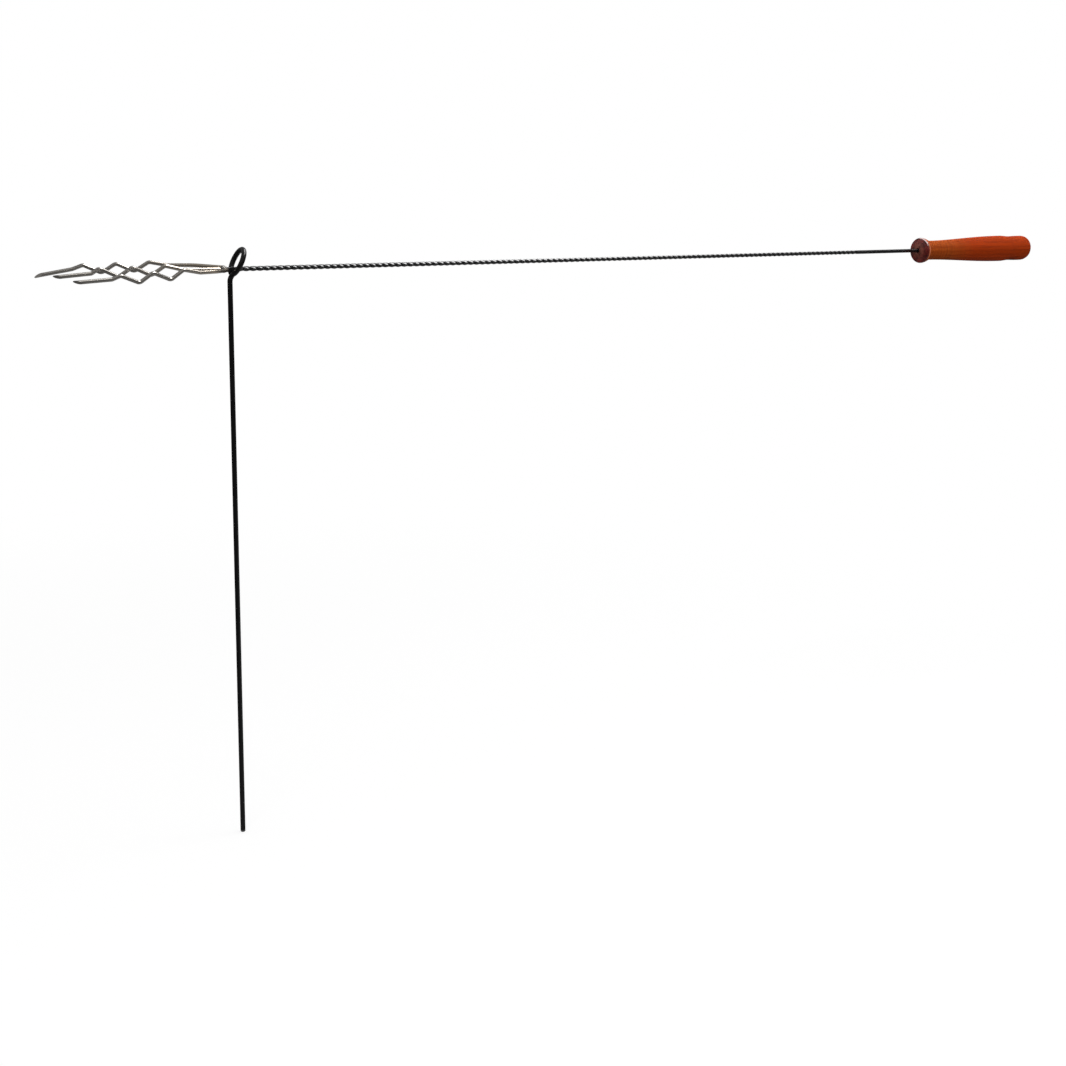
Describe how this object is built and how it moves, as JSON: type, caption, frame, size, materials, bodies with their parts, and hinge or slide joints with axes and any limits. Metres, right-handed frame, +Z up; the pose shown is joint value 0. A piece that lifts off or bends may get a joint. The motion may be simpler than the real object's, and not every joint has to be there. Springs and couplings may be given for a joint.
{
  "type": "campfire roasting fork",
  "caption": "Campfire roasting fork with zigzag tines on a twisted bar and a turned wood handle, lying in the leaning eye of a ground stake, where it slides and spins over the fire.",
  "frame": {"origin": "centre of the cut foot of the ground stake", "axes": "+Z runs up the stake, +X runs along the fork from the stake to the handle, so the tines point along -X and the near tine is on the -Y side"},
  "size_m": [1.2981, 0.0961, 0.569],
  "materials": {
    "stake_black": "satin black paint",
    "bar_black": "gloss black paint",
    "tine_steel": "bright drawn wire",
    "weld_steel": "dull weld metal",
    "stained_wood": "gloss red-brown stain"
  },
  "bodies": {
    "stake": {"ground_stake": "stake_black"},
    "handle": {"handle": "stained_wood"},
    "fork": {"twisted_shaft": "bar_black", "near_tine": "tine_steel", "centre_tine": "tine_steel", "far_tine": "tine_steel", "root_weld": "weld_steel"}
  },
  "joints": [
    {"name": "fork_slide", "type": "slide", "parent": "stake", "child": "handle", "axis": [-1, 0, 0], "range_m": [0, 0.917]},
    {"name": "fork_spin", "type": "hinge", "parent": "handle", "child": "fork", "pos_m": [0, 0, 0.54891], "axis": [1, 0, 0], "continuous": true}
  ]
}
